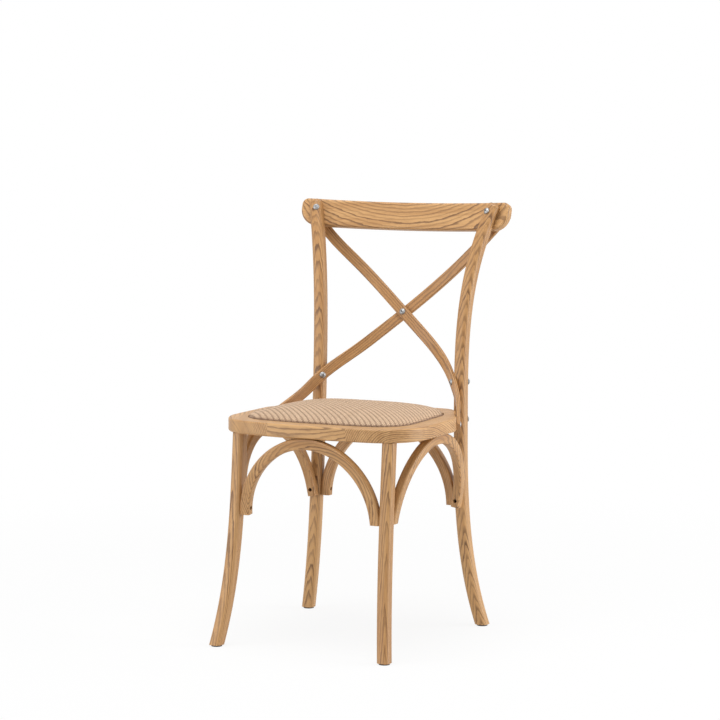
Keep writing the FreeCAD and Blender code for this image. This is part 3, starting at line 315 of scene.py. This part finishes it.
# Materials
def oak(name, light, warm, line, contrast):
    """Wood with rings, pores and clouds, placed by what lay_grain keeps on a piece; its shade carries
    painted light and shade too.
    """
    finish = Finish(name)
    place = finish.stretched(finish.attribute("grain"), (TO_MM, TO_MM, TO_MM))
    across, deep = finish.parts(place)[1:]
    run, sag, shade = finish.parts(finish.attribute("log"))
    across = across + run * run * sag * TO_MM
    radius = (across * across + deep * deep) ** 0.5
    wander = finish.waves(place, WANDER_WAVES)
    shake = finish.waves(place, SHAKE_WAVES)
    years = (radius + wander * RING_WANDER + shake * RING_SHAKE) / RING_WIDTH
    phase = years.maths("FRACT")
    strength = finish.chance(years.maths("FLOOR"))
    late = finish.steps(phase, LATE_BEGINS, LATE_FULL)
    fade = finish.steps(phase, 1.0, LATE_FADES)
    ring = late * fade * (strength * (1.0 - FAINTEST_RING) + FAINTEST_RING)
    pores = finish.waves(place, PORE_WAVES, detail=4.0, roughness=0.65)
    streak = finish.steps(pores, low=0.50, high=0.68)
    clouds = finish.waves(place, BROAD_WAVES) + finish.waves(place, BAND_WAVES)
    warmth = finish.steps(clouds, low=0.75, high=1.25) * CLOUD_SHARE + shade
    base = finish.mix(warmth, light, warm)
    # Where shade passes 1 it is painted shade, darkening towards the lines' colour
    base = finish.mix((shade - 1.0) * SHADE_SHARE, base, line)
    lined = finish.mix(ring * contrast, base, line)
    pored = finish.mix(streak * (PORE_SHARE + ring * PORE_SHARE_IN_RING), lined, line)
    finish.paint(pored, roughness=0.44 + streak * PORE_ROUGHNESS, specular=0.48)
    relief = streak * -PORE_DEPTH + ring * -RING_DEPTH
    finish.bump(relief, distance=0.12 * MM, strength=0.6)
    return finish.material


def woven_strands(name):
    """A twill of flat strands, with painted shade in the gaps between them and along the pad's foot.
    woven_pad keeps each place on the pad in strand widths.
    """
    finish = Finish(name)
    spot = finish.attribute("weave")
    right, back, up = finish.parts(spot)
    column = right.maths("FLOOR")
    row = back.maths("FLOOR")
    in_column = right - column
    in_row = back - row
    turn = (column + row).maths("FLOORED_MODULO", TWILL_REPEAT)
    weft_over = turn.maths("GREATER_THAN", TWILL_REPEAT - 1.5)
    warp_run = (turn + in_row) / (TWILL_REPEAT - 1.0)
    cross = in_column + weft_over * (in_row - in_column)
    run = warp_run + weft_over * (in_column - warp_run)
    warp_strand = column * WARP_NUMBER
    strand = warp_strand + weft_over * (row * WEFT_NUMBER - warp_strand + WEFT_START)
    side = (cross * 2.0 - 1.0).maths("ABSOLUTE")
    rounded = 1.0 - side ** FLAT_POWER
    arch = (run * math.pi).maths("SINE").maths("MAXIMUM", 0.0) ** ARCH_POWER
    height = rounded * (LOW_HEIGHT + arch * ARCH_HEIGHT) * (1.0 - weft_over * WEFT_SUNK)
    streak = finish.waves(spot, STREAK_WAVES, detail=3.0, roughness=0.7)
    tone = finish.chance(strand) * STRAND_SHARE + streak * STREAK_SHARE
    colour = finish.mix(tone, STRAND_LIGHT, STRAND_DARK)
    # Painted shade where the strands dip: in the gaps between them and on the sunk weft
    gap_shade = finish.steps(height, low=0.55, high=0.05)
    colour = finish.mix(gap_shade * GAP_SHADE_SHARE, colour, STRAND_SHADOW)
    # Painted shade along the pad's foot, just above the frame, with an uneven edge
    speck = finish.waves(spot, SPECK_WAVES, detail=1.0)
    level = up * (STRAND_WIDTH / MM) + speck * FOOT_SHADE_UNEVEN
    foot_shade = finish.steps(level, FRAME_TOP / MM + FOOT_SHADE_TOP, FRAME_TOP / MM + FOOT_SHADE_BOTTOM)
    colour = finish.mix(foot_shade * FOOT_SHADE_SHARE, colour, STRAND_SHADOW)
    finish.paint(colour, roughness=0.62, specular=0.3)
    finish.bump(height, distance=0.8 * MM, strength=0.9)
    return finish.material


def mottled(name, colour, scale, roughness, metallic=0.0):
    """Clouds between the colour and a darker one, with a faint bump."""
    finish = Finish(name)
    cloud = finish.noise(finish.object_place(), scale, detail=3.0)
    dark = tuple(channel * MOTTLE_DARKER for channel in colour)
    base = finish.mix(cloud, dark, colour)
    finish.paint(base, roughness + cloud * MOTTLE_ROUGHNESS, metallic)
    finish.bump(cloud, distance=0.2 * MM, strength=0.5)
    return finish.material


def zinc(name):
    finish = Finish(name)
    cloud = finish.noise(finish.object_place(), scale=260.0, detail=3.0)
    base = finish.mix(cloud, ZINC_DARK, ZINC_LIGHT)
    finish.paint(base, roughness=0.42 + cloud * ZINC_ROUGHNESS, metallic=1.0)
    return finish.material


materials = {
    "wood": oak("oiled_oak", OAK_LIGHT, OAK_WARM, OAK_LINE, contrast=0.90),
    "weave": woven_strands("woven_strands"),
    "fasteners": zinc("zinc"),
    "dark_screws": mottled("blackened_steel", BLACK_STEEL, scale=900.0, roughness=0.42, metallic=0.6),
    "glides": mottled("dark_glide", DARK_PLASTIC, scale=700.0, roughness=0.47),
    "dowels": mottled("beech", BEECH, scale=250.0, roughness=0.5),
    "board": oak("plywood", PLY_LIGHT, PLY_WARM, PLY_LINE, contrast=0.45),
    "foam": mottled("foam", FOAM, scale=600.0, roughness=0.8),
}


# Meshes
def points_of(piece):
    flat = np.empty(len(piece.data.vertices) * 3)
    piece.data.vertices.foreach_get("co", flat)
    return flat.reshape(-1, 3)


def keep_on(piece, name, vectors):
    """Keeps a vector on each vertex, for the material to read."""
    attribute = piece.data.attributes.new(name, "FLOAT_VECTOR", "POINT")
    attribute.data.foreach_set("vector", vectors.ravel())


def placed(name, data):
    """Puts a mesh, lamp or camera in the scene."""
    item = bpy.data.objects.new(name, data)
    bpy.context.scene.collection.objects.link(item)
    return item


def piece_from(name, mesh):
    """Turns a finished bmesh into a piece."""
    data = bpy.data.meshes.new(name)
    mesh.to_mesh(data)
    mesh.free()
    return placed(name, data)


# Grain that follows each piece
def middle_line(piece, axis):
    """The middles of the piece's cross-sections, from its low end on the axis to its high one."""
    points = points_of(piece)
    edges = np.empty(len(piece.data.edges) * 2, dtype=np.int32)
    piece.data.edges.foreach_get("vertices", edges)
    first, second = points[edges[0::2]], points[edges[1::2]]
    low, high = points[:, axis].min(), points[:, axis].max()
    line = []
    for level in np.linspace(low + LINE_END, high - LINE_END, LINE_POINTS):
        crossing = (first[:, axis] - level) * (second[:, axis] - level) < 0
        start, end = first[crossing], second[crossing]
        share = ((level - start[:, axis]) / (end[:, axis] - start[:, axis]))[:, None]
        cut = start + (end - start) * share
        line.append((cut.min(axis=0) + cut.max(axis=0)) / 2)
    return np.array(line)


def along_line(points, line, side):
    """Each point's run along the line, its way off the line towards side, and square to both."""
    starts, steps = line[:-1], np.diff(line, axis=0)
    lengths = np.linalg.norm(steps, axis=1)
    ways = steps / lengths[:, None]
    sofar = np.concatenate([[0], np.cumsum(lengths)[:-1]])
    best = np.full(len(points), np.inf)
    result = np.zeros((len(points), 3))
    last = len(starts) - 1
    for number, (start, way, length) in enumerate(zip(starts, ways, lengths)):
        offset = points - start
        low = -np.inf if number == 0 else 0
        high = np.inf if number == last else length
        run = np.clip(offset @ way, low, high)
        away = offset - run[:, None] * way
        distance = np.linalg.norm(away, axis=1)
        nearer = distance < best
        best[nearer] = distance[nearer]
        across = side - way * (side @ way)
        across /= np.linalg.norm(across)
        deep = np.cross(way, across)
        result[nearer, 0] = sofar[number] + run[nearer]
        result[nearer, 1] = away[nearer] @ across
        result[nearer, 2] = away[nearer] @ deep
    return result


def along_arch(points, box, span):
    """The same for a round arch that spans one axis: its run, the way outwards, and deep."""
    low, high = np.array(box[0]), np.array(box[1])
    middle = (low[span] + high[span]) / 2
    spring = low[Z] + ARCH_SPRING
    half_span = (high[span] - low[span]) / 2
    rise = high[Z] - spring
    out = points[:, span] - middle
    lift = points[:, Z] - spring
    angle = np.arctan2(np.maximum(lift, 0) / rise, out / half_span)
    rim = np.hypot(half_span * np.cos(angle), rise * np.sin(angle))
    radial = np.hypot(out, np.maximum(lift, 0)) - rim
    length = angle * (half_span + rise) / 2
    straight = np.where(out > 0, 1, -1) * np.minimum(lift, 0)
    deep = points[:, 1 - span] - points[:, 1 - span].mean()
    return np.stack([length + straight, radial, deep], axis=1)


def lay_grain(piece, wood_place, pith, slope, shade, fineness, sag=0.0):
    """Puts the piece in a log of its own.

    wood_place is each vertex's run along the piece and its way across and deep, in metres.
    pith is the way across and deep from the log's middle to the piece's, in millimetres.
    slope is how far the piece drifts across and deep in the log for each metre that it runs.
    shade adds to the share of the warm colour, and above 1 it darkens towards the lines as painted
    shade.
    fineness makes the rings finer, and sag bows them along the piece.
    """
    run = wood_place[:, 0]
    place = np.stack([
        run + (pith[0] * LOG_SHIFT[0] + pith[1] * LOG_SHIFT[1]) * MM,
        (wood_place[:, 1] + pith[0] * MM + run * slope[0]) * fineness,
        (wood_place[:, 2] + pith[1] * MM + run * slope[1]) * fineness,
    ], axis=1)
    keep_on(piece, "grain", place)
    middle = (run.min() + run.max()) / 2
    count = len(run)
    log = np.stack([run - middle, np.full(count, sag), np.full(count, shade)], axis=1)
    keep_on(piece, "log", log)


def leg_grain(name, pith, slope, shade, painted_shade_rise=0.0):
    """The shade changes for each metre of height by the rise given: painted light and shade up the
    leg.
    """
    leg = nodes[name]
    points = points_of(leg)
    place = along_line(points, middle_line(leg, Z), X_WAY)
    lay_grain(leg, place, pith, slope, shade + points[:, Z] * painted_shade_rise, LEG_FINENESS)


def slat_grain(name, pith, slope):
    slat = nodes[name]
    place = along_line(points_of(slat), middle_line(slat, Z), Y_WAY)
    lay_grain(slat, place, pith, slope, SLAT_SHADE, SLAT_FINENESS)


def crest_grain(name, pith, slope):
    crest = nodes[name]
    place = along_line(points_of(crest), middle_line(crest, X), Z_WAY)
    lay_grain(crest, place, pith, slope, CREST_SHADE, CREST_FINENESS, CREST_SAG)


def arch_grain(name, span, pith):
    """An arch is darker at its top, below the seat frame: painted shade."""
    arch = nodes[name]
    points, box = points_of(arch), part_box(name)
    painted_shade_at_top = np.clip((points[:, Z] - box[1][Z]) / ARCH_PAINTED_SHADE_BAND + 1, 0, 1)
    shade = ARCH_SHADE + ARCH_TOP_PAINTED_SHADE * painted_shade_at_top
    place = along_arch(points, box, span)
    lay_grain(arch, place, pith, ARCH_SLOPE, shade, ARCH_FINENESS)


def rail_grain(name, along, pith, slope, shade=0.0):
    rail = nodes[name]
    points = points_of(rail)
    points -= (points.min(axis=0) + points.max(axis=0)) / 2
    lay_grain(rail, points[:, [along, 1 - along, Z]], pith, slope, shade, RAIL_FINENESS)


# Each leg's rise of shade with height is painted light and shade
leg_grain("front_leg_left", pith=(30, 96), slope=(0.022, 0.030), shade=0.15)
leg_grain("front_leg_right", pith=(-44, 104), slope=(-0.014, 0.026), shade=0.6, painted_shade_rise=-1.1)
leg_grain("rear_leg_left", pith=(-20, 88), slope=(0.012, 0.072), shade=-0.5, painted_shade_rise=1.2)
leg_grain("rear_leg_right", pith=(25, -92), slope=(-0.014, 0.078), shade=-0.35, painted_shade_rise=1.0)
slat_grain("cross_slat_front", pith=(64, -42), slope=(0.012, 0.02))
slat_grain("cross_slat_rear", pith=(-58, 47), slope=(0.012, -0.02))
crest_grain("crest_rail", pith=(92, 36), slope=(-0.06, 0.03))
arch_grain("arch_front", X, pith=(38, 70))
arch_grain("arch_back", X, pith=(-36, 74))
arch_grain("arch_left", Y, pith=(42, -66))
arch_grain("arch_right", Y, pith=(-40, 71))
rail_grain("seat_rail_front", X, pith=(-90, 40), slope=(0.05, 0.04), shade=-0.35)
rail_grain("seat_rail_back", X, pith=(84, 30), slope=(0.05, 0.04))
rail_grain("seat_rail_left", Y, pith=(120, 60), slope=(0.30, 0.09))
rail_grain("seat_rail_right", Y, pith=(-118, 64), slope=(-0.42, 0.10))
rail_grain("seat_board", X, pith=(30, 82), slope=(0.16, 0.09))


# Woven pad
def pad_outline():
    """The middle of the pad at the frame's top, and its outline as angles and reaches."""
    points = points_of(nodes["seat_weave"])
    at_top = np.abs(points[:, Z] - FRAME_TOP) < SAME_LEVEL
    rim = points[at_top][:, :2]
    middle = (rim.min(axis=0) + rim.max(axis=0)) / 2
    offset = rim - middle
    angle = np.arctan2(offset[:, Y], offset[:, X])
    reach = np.linalg.norm(offset, axis=1)
    order = np.argsort(angle)
    angle, reach = angle[order], reach[order]
    farthest = np.array([reach[np.abs(angle - turn) < NEAR_ANGLE].max() for turn in angle])
    outer = reach > farthest - OUTLINE_DEPTH
    return middle, angle[outer], reach[outer]


def closed_sheet(name):
    """A flat square from -1 to 1 with a skirt and a base below it."""
    mesh = bmesh.new()
    bmesh.ops.create_grid(mesh, x_segments=PAD_GRID[X], y_segments=PAD_GRID[Y], size=1)
    rim = [edge for edge in mesh.edges if edge.is_boundary]
    grown = bmesh.ops.extrude_edge_only(mesh, edges=rim)["geom"]
    skirt = [item for item in grown if isinstance(item, bmesh.types.BMVert)]
    bmesh.ops.translate(mesh, verts=skirt, vec=(0, 0, -1))
    bmesh.ops.holes_fill(mesh, edges=[edge for edge in mesh.edges if edge.is_boundary])
    bmesh.ops.recalc_face_normals(mesh, faces=mesh.faces)
    return piece_from(name, mesh)


def woven_pad():
    """The cover: the sheet laid out to the pad's outline, crowned, ribbed and rolled at its edge."""
    piece = closed_sheet("woven_pad")
    points = points_of(piece)
    middle, angle, reach = pad_outline()
    base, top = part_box("seat_weave")[0][Z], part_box("seat_weave")[1][Z]
    share = np.abs(points[:, :2]).max(axis=1)
    turn = np.arctan2(points[:, Y], points[:, X])
    far = np.interp(turn, angle, reach, period=2 * math.pi) * share
    right = middle[X] + np.cos(turn) * far
    back = middle[Y] + np.sin(turn) * far
    from_rib = ((right + back) / RIB_SPACING + 0.5) % 1.0 - 0.5
    rib = np.exp(-((from_rib / RIB_SHARE) ** 2)) * (1 - share ** RIB_FADE_POWER)
    rolled = np.maximum(share - (1 - EDGE_SHARE), 0) / EDGE_SHARE
    crown = (top - FRAME_TOP - EDGE_RISE) * (1 - share ** CROWN_POWER)
    crown += EDGE_RISE * (1 - share ** EDGE_POWER)
    height = FRAME_TOP + crown - RIB_DEPTH * rib - EDGE_ROLL * rolled ** 2
    height = np.where(points[:, Z] < 0, base, height)
    points = np.stack([right, back, height], axis=1)
    piece.data.vertices.foreach_set("co", points.ravel())
    piece.data.polygons.foreach_set("use_smooth", [True] * len(piece.data.polygons))
    keep_on(piece, "weave", points / STRAND_WIDTH)
    piece.data.update()
    return piece


pad = woven_pad()
pad.data.materials.append(materials["weave"])
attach(pad, "root")
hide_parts("seat_weave")

for entry in frame["record"]["subparts"]:
    piece = nodes[entry["node"]]
    piece.data.materials.clear()
    piece.data.materials.append(materials[entry["material_slot"]])


# Studio
def studio_floor():
    """A matt floor that shows a little shade near the chair and is plain white far off."""
    finish = Finish("studio_white")
    finish.paint(FLOOR_GREY, roughness=1.0, specular=0.0)
    place = finish.object_place()
    away = finish.add("ShaderNodeVectorMath", {"operation": "LENGTH"}, (place,), "Value")
    far = finish.steps(away, FLOOR_NEAR, FLOOR_FAR)
    share = finish.seen() * (far * (1.0 - FLOOR_GLOW) + FLOOR_GLOW)
    glow = finish.add("ShaderNodeEmission", {}, {"Color": WHITE, "Strength": 1.0})
    mixed = finish.add("ShaderNodeMixShader", {}, (share, finish.surface, glow))
    finish.set(finish.output.inputs["Surface"], mixed)
    mesh = bmesh.new()
    below = Matrix.Translation((0, 0, -FLOOR_DROP))
    bmesh.ops.create_grid(mesh, x_segments=1, y_segments=1, size=FLOOR_REACH, matrix=below)
    floor = piece_from("studio_floor", mesh)
    floor.data.materials.append(finish.material)
    return floor


def white_world():
    """Plain white to the camera and in reflections, and a fainter light on the chair."""
    world = bpy.data.worlds.new("studio")
    world.use_nodes = True
    sky = Tree(world.node_tree)
    values = {"Value": sky.seen(), "To Min": WORLD_LIGHT, "To Max": 1.0}
    background = sky.tree.nodes["Background"]
    sky.set(background.inputs["Color"], WHITE)
    sky.set(background.inputs["Strength"], sky.add("ShaderNodeMapRange", {}, values))
    bpy.context.scene.world = world


def soft_light(name, place, target, width, power):
    lamp = bpy.data.lights.new(name, "AREA")
    lamp.shape = "DISK"
    lamp.size = width
    lamp.energy = power
    light = placed(name, lamp)
    light.location = place
    light.rotation_euler = (Vector(target) - Vector(place)).to_track_quat("-Z", "Y").to_euler()


def photo_view():
    view = bpy.data.cameras.new("photo_view")
    view.lens = CAMERA_LENS
    camera = placed("photo_view", view)
    camera.location = CAMERA_PLACE
    camera.rotation_euler = (math.radians(90 - CAMERA_DROP), 0, math.radians(CAMERA_TURN))
    bpy.context.scene.camera = camera
    bpy.context.scene.view_settings.view_transform = "Standard"


studio_floor()
white_world()
soft_light("right", (3.0, 1.1, 0.9), (0, 0, 0.4), width=2.4, power=74)
soft_light("left", (-2.5, -2.9, 0.8), (0, 0, 0.3), width=2.2, power=50)
soft_light("top", (0.0, -0.5, 3.0), (0, 0, 0.4), width=2.0, power=52)
photo_view()
